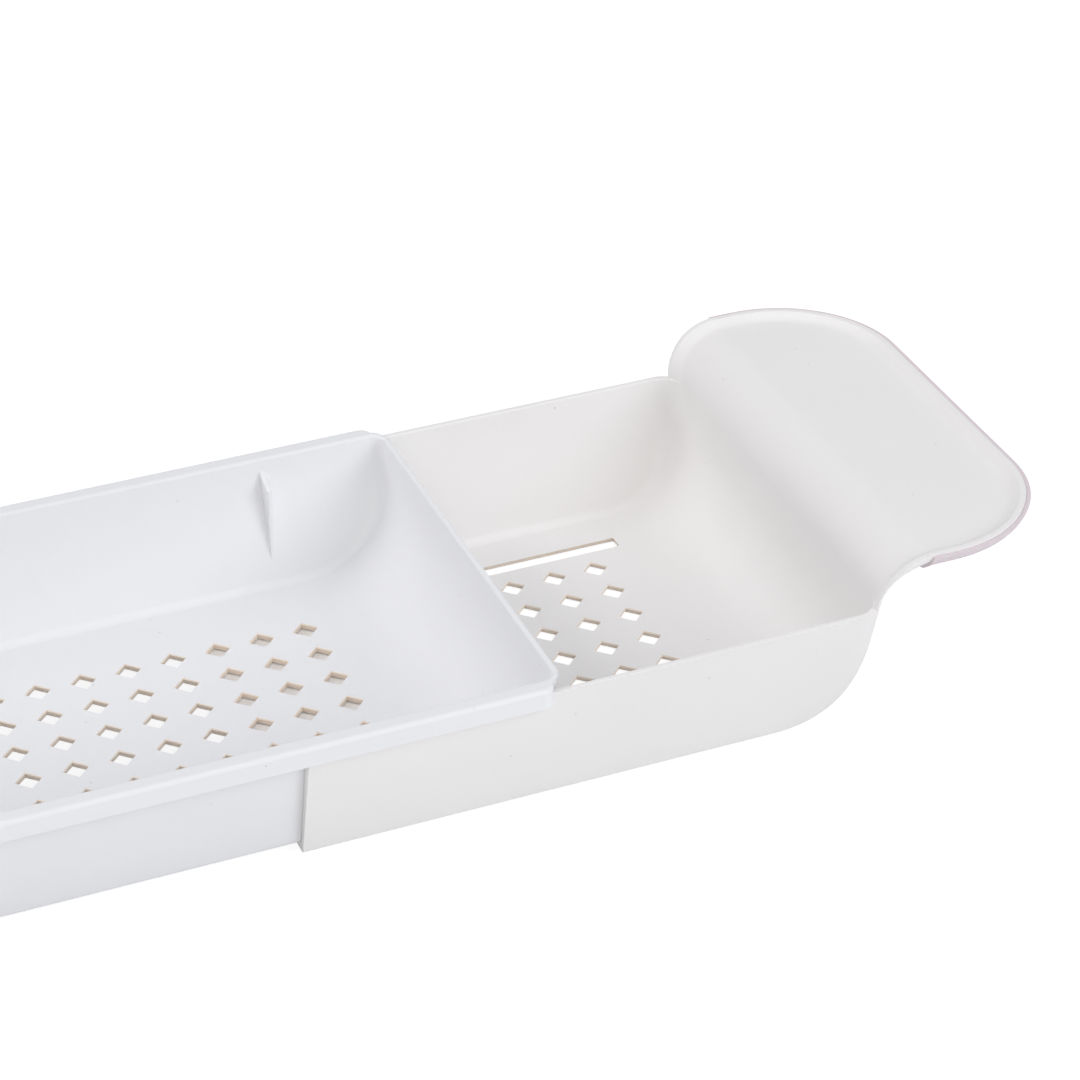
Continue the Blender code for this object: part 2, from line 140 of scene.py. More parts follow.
def acrossEdge(edge, x, z):
    # an edge that runs across the tray near a place in x and z
    low, high = spanOf(edge)
    return high.y - low.y > 1.0 and abs(low.x - x) < 1.0 and abs(low.z - z) < 0.5


def sharpAt(edge, low, high, turn=40.0):
    # a convex crease that lies between two heights in mm
    bottom, top = spanOf(edge)
    return (bottom.z > low and top.z < high and len(edge.link_faces) == 2 and edge.is_convex
            and edge.calc_face_angle() > math.radians(turn))


def pick(piece, kind, wanted):
    # goes into edit mode with only the wanted edges or faces selected
    choose(piece)
    bpy.ops.object.mode_set(mode="EDIT")
    bpy.ops.mesh.select_mode(type=kind)
    bpy.ops.mesh.select_all(action="DESELECT")
    mesh = bmesh.from_edit_mesh(piece.data)
    count = 0
    for part in (mesh.faces if kind == "FACE" else mesh.edges):
        if wanted(part):
            part.select_set(True)
            count += 1
    bmesh.update_edit_mesh(piece.data)
    return count


def pullFace(piece, wanted, x, y, z):
    # extrudes the wanted faces by a distance in mm
    pick(piece, "FACE", wanted)
    move = (x * mm, y * mm, z * mm)
    bpy.ops.mesh.extrude_region_move(TRANSFORM_OT_translate={"value": move})
    done()


def widenFace(piece, wanted, x, y):
    # scales the wanted faces about their middle
    pick(piece, "FACE", wanted)
    bpy.ops.transform.resize(value=(x, y, 1.0))
    done()


def moveEdges(piece, wanted, x, y, z):
    pick(piece, "EDGE", wanted)
    bpy.ops.transform.translate(value=(x * mm, y * mm, z * mm))
    done()


def cutAway(piece, point, away):
    # cuts with a plane through a point in mm and drops the side that the arrow points to
    editAll(piece)
    place = [c * mm for c in point]
    bpy.ops.mesh.bisect(plane_co=place, plane_no=away, use_fill=True, clear_outer=True)
    done()


def mergeFlat(piece):
    editAll(piece)
    bpy.ops.mesh.dissolve_limited(angle_limit=math.radians(0.5))
    done()


def roundEdges(piece, wanted, radius, turn, segments):
    # bevels edges so that the round has the given radius, for faces that turn by these degrees
    count = pick(piece, "EDGE", wanted)
    offset = radius * math.tan(math.radians(turn) / 2) * mm
    bpy.ops.mesh.bevel(offset_type="OFFSET", offset=offset, segments=segments, profile=0.5,
                       clamp_overlap=False, loop_slide=True)
    done()
    return count


# How a chain of lower edges is found: it lies between an underside that is level across the tray
# and walls that stand, both told by their normals. Edges that cross the tray are left out up to
# this x in mm, past which the handle's own end belongs to the chain.
chain = {"level": 0.02, "standing": 0.3, "handleFrom": 380.0}


def roundChain(piece, radiusAt, lowest, segments):
    # rounds the long edges between the underside and the walls, whose radius changes along them
    pick(piece, "EDGE", lambda e: False)
    mesh = bmesh.from_edit_mesh(piece.data)
    weight = mesh.edges.layers.float.new("bevel_weight_edge")
    level = chain["level"]
    widths = {}
    for edge in mesh.edges:
        low, high = spanOf(edge)
        under = [f.normal.z < -level and abs(f.normal.y) < level for f in edge.link_faces]
        standing = [abs(f.normal.z) < chain["standing"] for f in edge.link_faces]
        across = edge.verts[0].co.y * edge.verts[1].co.y < 0 and high.x < chain["handleFrom"]
        if under.count(True) != 1 or not standing[under.index(False)]:
            continue
        if across or high.z < lowest:
            continue
        widths[edge] = radiusAt((low + high) / 2)
    widest = max(widths.values())
    for edge, width in widths.items():
        edge[weight] = width / widest
    bmesh.update_edit_mesh(piece.data)
    done()
    bevel = piece.modifiers.new("Chain", "BEVEL")
    bevel.limit_method = "WEIGHT"
    bevel.width = widest * mm
    bevel.segments = segments
    bevel.use_clamp_overlap = False
    bevel.loop_slide = False
    bpy.ops.object.modifier_apply(modifier=bevel.name)


def combine(piece, tool, operation):
    choose(piece)
    boolean = piece.modifiers.new(operation, "BOOLEAN")
    boolean.operation = operation
    boolean.solver = "EXACT"
    boolean.object = tool
    boolean.material_mode = "TRANSFER"
    bpy.ops.object.modifier_apply(modifier=boolean.name)
    bpy.data.objects.remove(tool)


def repeated(piece, count, x, y):
    choose(piece)
    row = piece.modifiers.new("Row", "ARRAY")
    row.count = count
    row.use_relative_offset = False
    row.use_constant_offset = True
    row.constant_offset_displace = (x * mm, y * mm, 0.0)
    bpy.ops.object.modifier_apply(modifier=row.name)


def smooth(piece, angle):
    editAll(piece)
    bpy.ops.mesh.remove_doubles(threshold=mergeBelow * mm)
    done()
    bpy.ops.object.shade_smooth_by_angle(angle=math.radians(angle))
    weighted = piece.modifiers.new("Normals", "WEIGHTED_NORMAL")
    weighted.keep_sharp = True
    bpy.ops.object.modifier_apply(modifier=weighted.name)


# Finishes: matt moulded plastic, a darker tan on the sides of holes and slots that is painted
# shade, and the soft grip
surface = {
    "ior": 1.46, "driftScale": 14.0, "driftDetail": 3.0, "driftLow": 0.35, "driftHigh": 0.65,
    "grainDetail": 4.0, "grainHeight": 0.0002, "roughnessSpread": 0.05,
}
looks = {
    "centre": {
        "low": (0.852, 0.855, 0.866), "high": (0.868, 0.871, 0.881), "speck": (0.60, 0.58, 0.58),
        "speckScale": 150.0, "speckSize": 0.065, "speckShare": 0.24,
        "roughness": 0.48, "grainScale": 1300.0, "grain": 0.16,
    },
    "extension": {
        "low": (0.882, 0.866, 0.853), "high": (0.897, 0.882, 0.870), "speck": (0.62, 0.57, 0.54),
        "speckScale": 150.0, "speckSize": 0.065, "speckShare": 0.24,
        "roughness": 0.50, "grainScale": 1300.0, "grain": 0.16,
    },
    # the sides of holes and slots: a darker tan that is painted shade and warm bounced light inside
    # them, not a colour of the plastic
    "cut": {
        "low": (0.86, 0.75, 0.64), "high": (0.90, 0.80, 0.70), "speck": (0.5, 0.4, 0.3),
        "speckScale": 95.0, "speckSize": 0.03, "speckShare": 0.05,
        "roughness": 0.55, "grainScale": 1700.0, "grain": 0.05,
    },
    "grip": {
        "low": (0.750, 0.670, 0.697), "high": (0.775, 0.695, 0.722), "speck": (0.5, 0.4, 0.45),
        "speckScale": 95.0, "speckSize": 0.03, "speckShare": 0.05,
        "roughness": 0.60, "grainScale": 2200.0, "grain": 0.12,
    },
}


def node(tree, kind, **settings):
    made = tree.nodes.new(kind)
    for key, value in settings.items():
        setattr(made, key, value)
    return made


def ramp(tree, low, lowColour, high, highColour):
    made = node(tree, "ShaderNodeValToRGB")
    for element, place, colour in zip(made.color_ramp.elements, (low, high),
                                      (lowColour, highColour)):
        element.position = place
        element.color = (*colour, 1.0)
    return made


def finish(name, look):
    # a Principled finish with a faint drift of tone, small dark specks and a fine moulded grain
    material = bpy.data.materials.new(name)
    material.use_nodes = True
    tree = material.node_tree
    link = tree.links.new
    shader = tree.nodes["Principled BSDF"]
    shader.inputs["Metallic"].default_value = 0.0
    shader.inputs["IOR"].default_value = surface["ior"]
    place = node(tree, "ShaderNodeTexCoord")

    drift = node(tree, "ShaderNodeTexNoise")
    drift.inputs["Scale"].default_value = surface["driftScale"]
    drift.inputs["Detail"].default_value = surface["driftDetail"]
    tone = ramp(tree, surface["driftLow"], look["low"], surface["driftHigh"], look["high"])
    link(place.outputs["Object"], drift.inputs["Vector"])
    link(drift.outputs["Fac"], tone.inputs["Fac"])

    specks = node(tree, "ShaderNodeTexVoronoi")
    specks.inputs["Scale"].default_value = look["speckScale"]
    size = ramp(tree, 0.0, (1.0, 1.0, 1.0), look["speckSize"], (0.0, 0.0, 0.0))
    chance = node(tree, "ShaderNodeMath", operation="LESS_THAN")
    chance.inputs[1].default_value = look["speckShare"]
    split = node(tree, "ShaderNodeSeparateColor")
    amount = node(tree, "ShaderNodeMath", operation="MULTIPLY")
    link(place.outputs["Object"], specks.inputs["Vector"])
    link(specks.outputs["Distance"], size.inputs["Fac"])
    link(specks.outputs["Color"], split.inputs["Color"])
    link(split.outputs["Red"], chance.inputs[0])
    link(size.outputs["Color"], amount.inputs[0])
    link(chance.outputs["Value"], amount.inputs[1])
    spotted = node(tree, "ShaderNodeMix", data_type="RGBA")
    spotted.inputs["B"].default_value = (*look["speck"], 1.0)
    link(amount.outputs["Value"], spotted.inputs["Factor"])
    link(tone.outputs["Color"], spotted.inputs["A"])
    link(spotted.outputs["Result"], shader.inputs["Base Color"])

    grain = node(tree, "ShaderNodeTexNoise")
    grain.inputs["Scale"].default_value = look["grainScale"]
    grain.inputs["Detail"].default_value = surface["grainDetail"]
    sheen = node(tree, "ShaderNodeMapRange")
    sheen.inputs["To Min"].default_value = look["roughness"] - surface["roughnessSpread"]
    sheen.inputs["To Max"].default_value = look["roughness"] + surface["roughnessSpread"]
    bump = node(tree, "ShaderNodeBump")
    bump.inputs["Strength"].default_value = look["grain"]
    bump.inputs["Distance"].default_value = surface["grainHeight"]
    link(place.outputs["Object"], grain.inputs["Vector"])
    link(grain.outputs["Fac"], sheen.inputs["Value"])
    link(sheen.outputs["Result"], shader.inputs["Roughness"])
    link(grain.outputs["Fac"], bump.inputs["Height"])
    link(bump.outputs["Normal"], shader.inputs["Normal"])
    return material


centrePlastic = finish("centre_plastic", looks["centre"])
extensionPlastic = finish("extension_plastic", looks["extension"])
# painted shade for the sides of holes and slots
holeSidePaintedShade = finish("hole_side_painted_shade", looks["cut"])
gripRubber = finish("grip_rubber", looks["grip"])
print("finishes made")


# Shared sizes in mm, as in the solids: the lean of the long walls and the field of drain holes
tray = {
    "wallAcross": 1.857, "draft": 0.25397, "upperDraft": 0.06467,
    "centreHalf": 62.0, "centreFloor": 4.3,
    "extensionHalf": 63.62, "extensionFloor": 2.0, "extensionRim": 41.7,
    "holePitch": 14.0, "holeDiagonal": 7.5, "holeFlare": 0.35, "holeRows": 6,
    "holeBelow": 2.0, "holeAbove": 0.5,
}


def centreSide(z):
    # inner half-width of the centre tray at a height
    return tray["centreHalf"] + tray["draft"] * (z - tray["centreFloor"])


def extensionSide(z):
    # inner half-width of an extension tray, whose lip stands steeper than the wall below it
    rim = tray["extensionRim"]
    wall = tray["draft"] * (min(z, rim) - tray["extensionFloor"])
    return tray["extensionHalf"] + wall + tray["upperDraft"] * max(z - rim, 0.0)


def cutSides(piece, sideAt, z, draft, extra=0.0):
    # cuts both long sides with leaning planes, given the half-width at a height
    for sign in (1.0, -1.0):
        cutAway(piece, (0.0, sign * (sideAt(z) + extra), z), (0.0, sign, -draft))


def growth(z, sweep):
    # how far a lower edge has opened on the way up the sweep, from 0 to 1
    along = min(max(z / sweep, 0.0), 1.0)
    return (1.0 - (1.0 - along) ** 2) ** 2


def drainHoles(name, firstX, columns, floorTop, floorBottom, spread):
    # the field of square holes on their corners, wider below and with a soft upper edge
    clearSelection()
    half = tray["holeDiagonal"] / 2
    flare = tray["holeFlare"]
    thick = floorTop - floorBottom
    deep = thick + tray["holeBelow"]
    firstY = -(tray["holeRows"] - 1) / 2 * tray["holePitch"]
    middle = (firstX * mm, firstY * mm, (floorTop - deep / 2) * mm)
    bpy.ops.mesh.primitive_cone_add(vertices=4, radius1=(half + spread * deep / thick) * mm,
                                    radius2=half * mm, depth=deep * mm, location=middle)
    piece = bpy.context.object
    piece.name = piece.data.name = name
    # the hole sides get the tan painted shade
    piece.data.materials.append(holeSidePaintedShade)
    bpy.ops.object.transform_apply(location=True, rotation=True, scale=True)
    moveEdges(piece, lambda e: spanOf(e)[0].z > floorTop - near, 0.0, 0.0, -flare)
    pullFace(piece, lambda f: facing(f, 0, 0, 1), 0.0, 0.0, flare + tray["holeAbove"])
    wide = (half + flare + tray["holeAbove"]) / half
    widenFace(piece, lambda f: facing(f, 0, 0, 1), wide, wide)
    repeated(piece, columns, tray["holePitch"], 0.0)
    repeated(piece, tray["holeRows"], 0.0, tray["holePitch"])
    return piece


# Extension trays: floor, sweep, S-shaped end wall and the flat handle with its lip
extension = {
    "innerEnd": 154.0, "floorTop": 2.0, "rimTop": 41.7, "ledge": 41.66, "rimRound": 0.5,
    "wallFoot": 326.52, "lean": 0.06116, "wallAlong": 1.803, "turn": 86.5,
    "sweep": 28.0, "sweepWall": 1.9, "bend": 15.4, "bendWall": 1.8, "bendFrom": 41.0,
    "handleTop": 56.2, "handleUnder": 54.4, "handleEnd": 387.96, "handleRound": 3.2,
    "neckRound": 9.6, "neckScale": 0.96, "cornerRound": 37.36,
    "outsideFoot": 0.778, "outsideGain": 8.5, "outsideSweep": 29.9,
    "insideFoot": 2.4, "insideGain": 5.6, "cavityStart": 140.0,
    "airStart": 300.0, "airLow": 38.0, "airEnd": 387.1, "airCorner": 36.5,
    "airFoot": 0.6, "airDraft": 0.0887, "pastHandle": 400.0,
    "fillet": 4.75, "filletGain": 3.25, "filletDrop": 14.5, "filletLow": 38.5,
    "lipTop": 58.2, "lipFoot": 2.3, "lipOverlap": 0.3, "lipRound": 17.0, "lipEdge": 0.3,
    "slotLow": 181.4, "slotHigh": 297.0, "slotLine": 47.0, "slotWidth": 5.0, "slotCut": 3.0,
    "slotCorner": 0.6, "slotSpread": 3.6, "slotLonger": 1.03,
    "firstHole": 229.0, "holeColumns": 5, "holeSpread": 1.25,
    "airAbove": 30.0, "mouldingAbove": 20.0,
    "sweepSteps": 16, "bendSteps": 14, "cornerSteps": 20, "chainSteps": 6, "smoothUnder": 35.0,
}


def wallLine(z, outwards=0.0):
    # where the end wall stands at a height
    return extension["wallFoot"] + extension["lean"] * z + outwards


def steppedBlock(name, left, low, outwards, step, right, radius):
    # a block over the tray and the handle, whose step follows the S of the end wall
    size = extension
    foot, crest = wallLine(low, outwards), wallLine(step, outwards)
    piece = blockBetween(name, (left, -blockHalf, low), (foot, blockHalf, step))
    moveEdges(piece, lambda e: acrossEdge(e, foot, step), size["lean"] * (step - low), 0, 0)
    pullFace(piece, lambda f: facing(f, 0, 0, 1), 0.0, 0.0, size["airAbove"])
    pullFace(piece, lambda f: facing(f, 1, 0, 0) and spanOf(f)[0].z > step - near,
             right - crest, 0.0, 0.0)
    mergeFlat(piece)
    roundEdges(piece, lambda e: acrossEdge(e, crest, step), radius, size["turn"],
               size["bendSteps"])
    return piece


def outerBlock(name, larger=0.0):
    # the moulding from outside, still solid and taller than the lip
    size = extension
    along = size["wallAlong"] + larger
    foot = wallLine(-larger, along)
    under = size["handleUnder"] - larger
    bend = size["bend"] - size["bendWall"]
    piece = blockBetween(name, (size["innerEnd"], -blockHalf, -larger), (foot, blockHalf, under))
    moveEdges(piece, lambda e: acrossEdge(e, foot, under), size["lean"] * (under + larger), 0, 0)
    pullFace(piece, lambda f: facing(f, 0, 0, 1), 0.0, 0.0, size["mouldingAbove"])
    pullFace(piece, lambda f: facing(f, 1, 0, 0) and spanOf(f)[0].z > under - near,
             size["handleEnd"] + larger - wallLine(under, along), 0.0, 0.0)
    mergeFlat(piece)
    roundEdges(piece, lambda e: acrossEdge(e, foot, -larger),
               size["sweep"] + size["sweepWall"] + larger, size["turn"], size["sweepSteps"])
    roundEdges(piece, lambda e: acrossEdge(e, wallLine(under, along), under),
               bend - larger, size["turn"], size["bendSteps"])
    cutSides(piece, extensionSide, tray["extensionFloor"], tray["draft"],
             tray["wallAcross"] + larger)
    cutSides(piece, extensionSide, tray["extensionRim"], tray["upperDraft"],
             tray["wallAcross"] + larger)
    roundEdges(piece, lambda e: spanOf(e)[0].x > size["handleEnd"] - 1 and upright(e),
               size["cornerRound"] + larger, square, size["cornerSteps"])

    def radiusAt(point):
        # opens up the sweep, then closes again round the bend to the handle's tighter edge
        if point.z < size["bendFrom"]:
            opened = size["outsideGain"] * growth(point.z, size["outsideSweep"])
            return larger + size["outsideFoot"] + opened
        rise = (point.z - size["handleUnder"] + bend) / bend
        angle = math.asin(min(max(rise, 0.0), 1.0)) / math.radians(size["turn"])
        neck = size["neckRound"] - size["handleRound"]
        closed = neck * (1.0 - min(angle, 1.0) ** 2) ** 2
        return larger + size["neckScale"] * (size["handleRound"] + closed)

    roundChain(piece, radiusAt, -1.0, size["chainSteps"])
    return piece


def trayCavity():
    # the air inside the tray, which opens at the top so that the rims get a soft inner edge
    size = extension
    bottom, edge = size["floorTop"], size["rimRound"]
    top = size["rimTop"] - edge
    foot = wallLine(bottom)
    piece = blockBetween("cavity", (size["cavityStart"], -blockHalf, bottom),
                         (foot, blockHalf, top))
    moveEdges(piece, lambda e: acrossEdge(e, foot, top), size["lean"] * (top - bottom), 0, 0)
    roundEdges(piece, lambda e: acrossEdge(e, foot, bottom), size["sweep"], size["turn"],
               size["sweepSteps"])
    cutSides(piece, extensionSide, tray["extensionFloor"], tray["draft"])

    def radiusAt(point):
        return size["insideFoot"] + size["insideGain"] * growth(point.z - bottom, size["sweep"])

    roundChain(piece, radiusAt, 1.0, size["chainSteps"])
    # the quarter round of the rims in three steps, and a last one that clears their top
    half, height, reach = extensionSide(top), 0.0, 0.0
    for turn in (30.0, 60.0, 90.0, 96.0):
        angle = math.radians(turn)
        rise = edge * (math.sin(angle) if turn <= square else 1.1)
        wider = edge * (1.0 - math.cos(min(angle, math.pi / 2))) + tray["draft"] * rise
        pullFace(piece, lambda f: facing(f, 0, 0, 1), size["lean"] * (rise - height), 0.0,
                 rise - height)
        widenFace(piece, lambda f: facing(f, 0, 0, 1), 1.0, (half + wider) / (half + reach))
        height, reach = rise, wider
    return piece


def handleAir():
    # the air over the S and the handle, whose rounded lower edges leave the lip's fillet
    size = extension
    piece = steppedBlock("handle_air", size["airStart"], size["airLow"], 0.0, size["handleTop"],
                         size["airEnd"], size["bend"])
    rim = tray["extensionRim"]
    for sign in (1.0, -1.0):
        cutAway(piece, (0.0, sign * (extensionSide(rim) + size["airFoot"]), rim),
                (0.0, sign, -size["airDraft"]))
    roundEdges(piece, lambda e: spanOf(e)[0].x > size["airEnd"] - 1 and upright(e),
               size["airCorner"], square, size["cornerSteps"])

    def radiusAt(point):
        drop = min(max((size["handleTop"] - point.z) / size["filletDrop"], 0.0), 1.0)
        return size["fillet"] + size["filletGain"] * drop ** 1.5

    roundChain(piece, radiusAt, size["filletLow"], size["chainSteps"])
    cutAway(piece, (0.0, 0.0, size["ledge"]), (0.0, 0.0, -1.0))
    start = wallLine(size["rimTop"], -size["lipFoot"] - size["lipOverlap"])
    cutAway(piece, (start, 0.0, 0.0), (-1.0, 0.0, 0.0))
    return piece


def slotTool():
    # both long slots, with small round corners and sides that spread downwards
    size = extension
    corner, cut = size["slotCorner"], size["slotCut"]
    reach = size["slotWidth"] / 2 - corner
    piece = blockBetween("slot", (size["slotLow"], -size["slotLine"] - reach, -cut),
                         (size["slotHigh"], -size["slotLine"] + reach, cut))
    # the slot sides get the tan painted shade
    piece.data.materials.append(holeSidePaintedShade)
    roundEdges(piece, upright, corner, square, 3)
    widenFace(piece, lambda f: facing(f, 0, 0, -1), size["slotLonger"],
              1.0 + size["slotSpread"] / reach)
    repeated(piece, 2, 0.0, 2 * size["slotLine"])
    return piece


def outerRim(edge):
    # the long outer edge of one of the tray's rims
    low, high = spanOf(edge)
    top = extension["rimTop"]
    return (sharpAt(edge, top - near, top + near / 2) and high.x - low.x > 100
            and abs(edge.verts[0].co.y) > 75 * mm)


def extensionTray():
    size = extension
    shell = outerBlock("right_extension_tray_moulding")
    shell.data.materials.append(extensionPlastic)
    combine(shell, steppedBlock("above_lip", size["cavityStart"], size["rimTop"],
                                -size["lipFoot"], size["lipTop"], size["pastHandle"],
                                size["lipRound"]), "DIFFERENCE")
    combine(shell, trayCavity(), "DIFFERENCE")
    combine(shell, handleAir(), "DIFFERENCE")
    rims = roundEdges(shell, outerRim, size["rimRound"], square, 3)
    lips = roundEdges(shell, lambda e: sharpAt(e, size["lipTop"] - near, size["lipTop"] + 0.8),
                      size["lipEdge"], square, 2)
    print("soft edges", rims, lips)
    combine(shell, slotTool(), "DIFFERENCE")
    combine(shell, drainHoles("hole", size["firstHole"], size["holeColumns"], size["floorTop"],
                              0.0, size["holeSpread"]), "DIFFERENCE")
    smooth(shell, size["smoothUnder"])
    print("extension tray", len(shell.data.polygons))
    return shell


# Soft grips: a band round the handle's edge that reaches in under it
grip = {
    "gap": 0.05, "thickness": 1.5, "topSetback": 0.5, "lowStart": 340.7, "highStart": 343.0,
    "slantFrom": 53.2, "slantHeight": 5.0, "reachUnder": 12.0, "openStart": 300.0,
    "openLow": 40.0, "openHigh": 60.0, "openRound": 25.0, "openSteps": 16,
    "handleMiddle": 54.0, "smoothUnder": 40.0,
}


def softGrip():
    band = outerBlock("right_grip_band", grip["gap"] + grip["thickness"])
    band.data.materials.append(gripRubber)
    start = grip["lowStart"]
    cutAway(band, (0.0, 0.0, extension["lipTop"] - grip["topSetback"]), (0.0, 0.0, 1.0))
    cutAway(band, (start, 0.0, 0.0), (-1.0, 0.0, 0.0))
    slant = (grip["highStart"] - start) / grip["slantHeight"]
    cutAway(band, (start, 0.0, grip["slantFrom"]), (-1.0, 0.0, slant))
    combine(band, outerBlock("inside", grip["gap"]), "DIFFERENCE")
    inner = extension["handleEnd"] - grip["reachUnder"]
    half = extensionSide(grip["handleMiddle"]) + tray["wallAcross"] - grip["reachUnder"]
    middle = blockBetween("middle", (grip["openStart"], -half, grip["openLow"]),
                          (inner, half, grip["openHigh"]))
    roundEdges(middle, lambda e: spanOf(e)[0].x > inner - 1 and upright(e), grip["openRound"],
               square, grip["openSteps"])
    combine(band, middle, "DIFFERENCE")
    smooth(band, grip["smoothUnder"])
    print("grip", len(band.data.polygons))
    return band


# Centre tray: long tub with turned-down rims, wall blades and stop tabs
centre = {
    "floorTop": 4.3, "floorBottom": 2.3, "rimTop": 44.5, "wall": 1.8, "wallSlant": 1.032,
    "endFoot": 226.94, "lean": 0.02619, "turn": 88.5, "sweep": 30.0, "airTop": 60.0,
    "footRound": 2.2, "airFoot": 3.0, "footShare": 0.78, "cornerRound": 4.0,
    "railEnd": 226.4, "railIn": 73.0, "railOut": 77.71, "railThick": 1.6, "skirt": 6.0,
    "skirtWall": 1.6, "railRound": 1.4, "railCorner": 4.4, "hollowIn": 70.0,
    "hollowCorner": 2.8, "passageOut": 75.9, "below": 5.0,
    "rimInsideEnd": 228.6, "rimInsideHalf": 72.6, "rimOutsideEnd": 228.9,
    "innerRound": 0.9, "outerRound": 0.6,
    "ribX": 189.0, "ribWall": 1.6, "ribLow": 11.4, "ribHigh": 37.5, "ribTip": 40.7,
    "ribBack": 80.0, "ribBuried": 0.93, "ribRound": 0.55,
    "tabX": 194.7, "tabLine": 47.0, "tabLength": 6.0, "tabWidth": 4.0, "tabLow": 0.3,
    "tabHigh": 3.4, "tabRound": 0.4,
    "firstHole": -189.0, "holeColumns": 28, "holeSpread": 0.55,
    "sweepSteps": 18, "chainSteps": 6, "cornerSteps": 8, "smoothUnder": 35.0,
}


def tubBlock(name, low, high, outwards, radius, foot, corner):
    # a block with both ends swept up, as the tray's outside or its inside
    size = centre
    end = size["endFoot"] + outwards
    piece = blockBetween(name, (-end, -blockHalf, low), (end, blockHalf, high))
    for sign in (1.0, -1.0):
        moveEdges(piece, lambda e: acrossEdge(e, sign * end, high),
                  sign * size["lean"] * (high - low), 0, 0)
    roundEdges(piece, lambda e: acrossEdge(e, end, low) or acrossEdge(e, -end, low), radius,
               size["turn"], size["sweepSteps"])
    cutSides(piece, centreSide, tray["centreFloor"], tray["draft"],
             outwards * size["wallSlant"])
    start = size["footShare"] * foot

    def radiusAt(point):
        return start + (corner - start) * growth(point.z - low, radius)

    roundChain(piece, radiusAt, low - 1, size["chainSteps"])
    return piece


def rimRail():
    # the flat rim on one long side, hollow underneath behind its skirt
    size = centre
    end, out, top = size["railEnd"], size["railOut"], size["rimTop"]
    wall = size["skirtWall"]
    skirtLow = top - size["skirt"]
    low, high = skirtLow - size["below"], top - size["railThick"]
    rail = blockBetween("rail", (-end, size["railIn"], skirtLow), (end, out, top))
    roundEdges(rail, lambda e: upright(e) and spanOf(e)[0].y > out - near, size["railCorner"],
               square, size["cornerSteps"])
    roundEdges(rail, lambda e: spanOf(e)[0].z > top - near
               and spanOf(e)[1].y > size["railIn"] + near, size["railRound"], square, 5)
    hollow = blockBetween("hollow", (wall - end, size["hollowIn"], low),
                          (end - wall, out - wall, high))
    roundEdges(hollow, lambda e: upright(e) and spanOf(e)[0].y > out - wall - near,
               size["hollowCorner"], square, 6)
    combine(rail, hollow, "DIFFERENCE")
    # the extension tray's wall runs out through both ends
    passage = blockBetween("passage", (-end - size["below"], size["hollowIn"], low),
                           (end + size["below"], size["passageOut"], high))
    combine(rail, passage, "DIFFERENCE")
    return rail


def wallRib():
    # an upright blade inside a long wall, slanted off at its top
    size = centre
    half, tip = size["ribWall"] / 2, size["ribTip"]
    front = centreSide(size["ribLow"])
    rib = blockBetween("rib", (-half, front, size["ribLow"]), (half, size["ribBack"], tip))
    editAll(rib)
    bpy.ops.mesh.bisect(plane_co=(0.0, 0.0, size["ribHigh"] * mm), plane_no=(0.0, 0.0, 1.0))
    done()
    moveEdges(rib, lambda e: spanOf(e)[0].z > tip - near and spanOf(e)[1].y < front + near,
              0.0, centreSide(tip) - front, 0.0)
    roundEdges(rib, lambda e: upright(e) and spanOf(e)[1].y - spanOf(e)[0].y < 8
               and spanOf(e)[0].y < front + near, size["ribRound"], square, 3)
    floor = tray["centreFloor"]
    cutAway(rib, (0.0, centreSide(floor) + size["ribBuried"], floor),
            (0.0, 1.0, -tray["draft"]))
    return rib


def stopTab():
    # a small block under the floor, which runs in an extension tray's slot
    size = centre
    x, y = size["tabLength"] / 2, size["tabWidth"] / 2
    tab = blockBetween("tab", (-x, -y, size["tabLow"]), (x, y, size["tabHigh"]))
    roundEdges(tab, lambda e: spanOf(e)[1].z < size["tabLow"] + near or upright(e),
               size["tabRound"], square, 2)
    return tab


def innerRim(edge):
    # an inner edge of the rims, all round the tub
    low, high = spanOf(edge)
    top, end = centre["rimTop"], centre["rimInsideEnd"]
    return (sharpAt(edge, top - near / 2, top + near) and -end < low.x and high.x < end
            and max(-low.y, high.y) < centre["rimInsideHalf"])


def outerEnd(edge):
    # an outer edge of the end walls
    low, high = spanOf(edge)
    top = centre["rimTop"]
    return (sharpAt(edge, top - near / 2, top + near)
            and max(-low.x, high.x) > centre["rimOutsideEnd"])


def centreTray():
    size = centre
    wall = size["wall"]
    shell = tubBlock("centre_tray_tub", size["floorBottom"], size["rimTop"], wall,
                     size["sweep"] + wall, size["footRound"], size["cornerRound"] + wall)
    shell.data.materials.append(centrePlastic)
    rail = rimRail()
    combine(shell, placedCopy(rail, 0.0, 0.0, True), "UNION")
    combine(shell, rail, "UNION")
    combine(shell, tubBlock("tub_air", size["floorTop"], size["airTop"], 0.0, size["sweep"],
                            size["airFoot"], size["cornerRound"]), "DIFFERENCE")
    inner = roundEdges(shell, innerRim, size["innerRound"], square, 4)
    outer = roundEdges(shell, outerEnd, size["outerRound"], square, 3)
    print("soft edges", inner, outer)
    rib, tab = wallRib(), stopTab()
    for x in (size["ribX"], -size["ribX"]):
        for turned in (False, True):
            combine(shell, placedCopy(rib, x, 0.0, turned), "UNION")
    for x in (size["tabX"], -size["tabX"]):
        for y in (size["tabLine"], -size["tabLine"]):
            combine(shell, placedCopy(tab, x, y, False), "UNION")
    for spare in (rib, tab):
        bpy.data.objects.remove(spare)
    combine(shell, drainHoles("hole", size["firstHole"], size["holeColumns"], size["floorTop"],
                              size["floorBottom"], size["holeSpread"]), "DIFFERENCE")
    smooth(shell, size["smoothUnder"])
    print("centre tray", len(shell.data.polygons))
    return shell


tub = centreTray()
rightTray = extensionTray()
rightGrip = softGrip()
leftTray = turnedCopy(rightTray, "left_extension_tray_moulding")
leftGrip = turnedCopy(rightGrip, "left_grip_band")

